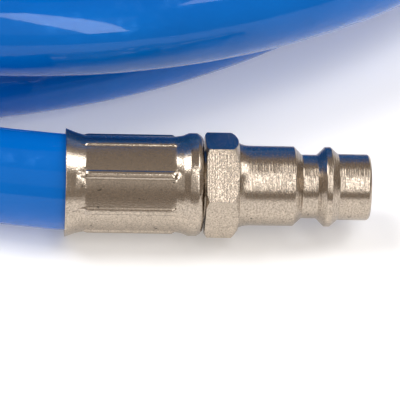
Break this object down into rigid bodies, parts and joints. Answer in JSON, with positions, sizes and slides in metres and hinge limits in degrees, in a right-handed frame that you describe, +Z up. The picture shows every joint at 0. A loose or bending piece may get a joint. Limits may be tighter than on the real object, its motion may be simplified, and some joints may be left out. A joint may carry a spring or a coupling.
{
  "type": "air hose",
  "caption": "Coiled blue PVC air hose held by straps, with a crimped quick-connect plug on one end and a sliding-sleeve quick-connect coupler on the other.",
  "frame": {"origin": "middle of the whole hose's footprint, on the floor that it lies on", "axes": "+Z up, +X along the plug's nose, +Y from the plug towards the back of the coil, which is also the way the coupler's mouth faces"},
  "size_m": [0.2672, 0.2692, 0.0837],
  "materials": {
    "hose_pvc": "smooth glossy blue PVC",
    "hose_liner": "smooth pale PVC",
    "hose_braid": "woven polyester yarn",
    "strap": "black woven strap",
    "ferrule_nickel": "crimped nickel-plated steel, satin",
    "plug_nickel": "turned nickel-plated steel, fine lathe marks",
    "coupler_nickel": "turned nickel-plated brass, satin",
    "ball_steel": "polished",
    "spring_steel": "drawn wire",
    "seal_rubber": "matte black nitrile",
    "valve_brass": "turned"
  },
  "bodies": {
    "hose": {"plug_body": "plug_nickel", "plug_ferrule": "ferrule_nickel", "plug_end_liner": "hose_liner", "plug_end_braid": "hose_braid", "plug_end_cover": "hose_pvc", "hose_plug_lead": "hose_pvc", "hose_coil": "hose_pvc", "hose_top_turn": "hose_pvc", "hose_coupler_lead": "hose_pvc", "coil_tie_right": "strap", "coil_tie_back": "strap", "coil_tie_front": "strap", "coupler_end_liner": "hose_liner", "coupler_end_braid": "hose_braid", "coupler_end_cover": "hose_pvc", "coupler_ferrule": "ferrule_nickel", "coupler_tail": "coupler_nickel", "body_seal": "seal_rubber", "coupler_body": "coupler_nickel", "sleeve_spring": "spring_steel", "retaining_ring": "spring_steel", "plug_seal": "seal_rubber", "valve_spring": "spring_steel"},
    "sleeve": {"release_sleeve": "coupler_nickel"},
    "valve": {"valve_poppet": "valve_brass", "valve_seal": "seal_rubber"},
    "ball_1": {"locking_ball_1": "ball_steel"},
    "ball_2": {"locking_ball_2": "ball_steel"},
    "ball_3": {"locking_ball_3": "ball_steel"},
    "ball_4": {"locking_ball_4": "ball_steel"},
    "ball_5": {"locking_ball_5": "ball_steel"},
    "ball_6": {"locking_ball_6": "ball_steel"}
  },
  "joints": [
    {"name": "sleeve_slide", "type": "slide", "parent": "hose", "child": "sleeve", "axis": [0, -1, 0], "range_m": [0, 0.0045], "stiffness_N_per_m": 600, "springref_m": -0.01, "deforming": ["sleeve_spring"]},
    {"name": "valve_slide", "type": "slide", "parent": "hose", "child": "valve", "axis": [0, -1, 0], "range_m": [0, 0.0035], "stiffness_N_per_m": 400, "springref_m": -0.008, "deforming": ["valve_spring"]},
    {"name": "ball_1_slide", "type": "slide", "parent": "hose", "child": "ball_1", "axis": [1, 0, 0], "range_m": [0, 0.00115]},
    {"name": "ball_2_slide", "type": "slide", "parent": "hose", "child": "ball_2", "axis": [0.5, 0, 0.866], "range_m": [0, 0.00115]},
    {"name": "ball_3_slide", "type": "slide", "parent": "hose", "child": "ball_3", "axis": [-0.5, 0, 0.866], "range_m": [0, 0.00115]},
    {"name": "ball_4_slide", "type": "slide", "parent": "hose", "child": "ball_4", "axis": [-1, 0, 0], "range_m": [0, 0.00115]},
    {"name": "ball_5_slide", "type": "slide", "parent": "hose", "child": "ball_5", "axis": [-0.5, 0, -0.866], "range_m": [0, 0.00115]},
    {"name": "ball_6_slide", "type": "slide", "parent": "hose", "child": "ball_6", "axis": [0.5, 0, -0.866], "range_m": [0, 0.00115]}
  ],
  "couplings": [
    {"joint": "ball_1_slide", "follows": "sleeve_slide", "ratio": 0.2555},
    {"joint": "ball_2_slide", "follows": "sleeve_slide", "ratio": 0.2555},
    {"joint": "ball_3_slide", "follows": "sleeve_slide", "ratio": 0.2555},
    {"joint": "ball_4_slide", "follows": "sleeve_slide", "ratio": 0.2555},
    {"joint": "ball_5_slide", "follows": "sleeve_slide", "ratio": 0.2555},
    {"joint": "ball_6_slide", "follows": "sleeve_slide", "ratio": 0.2555}
  ]
}
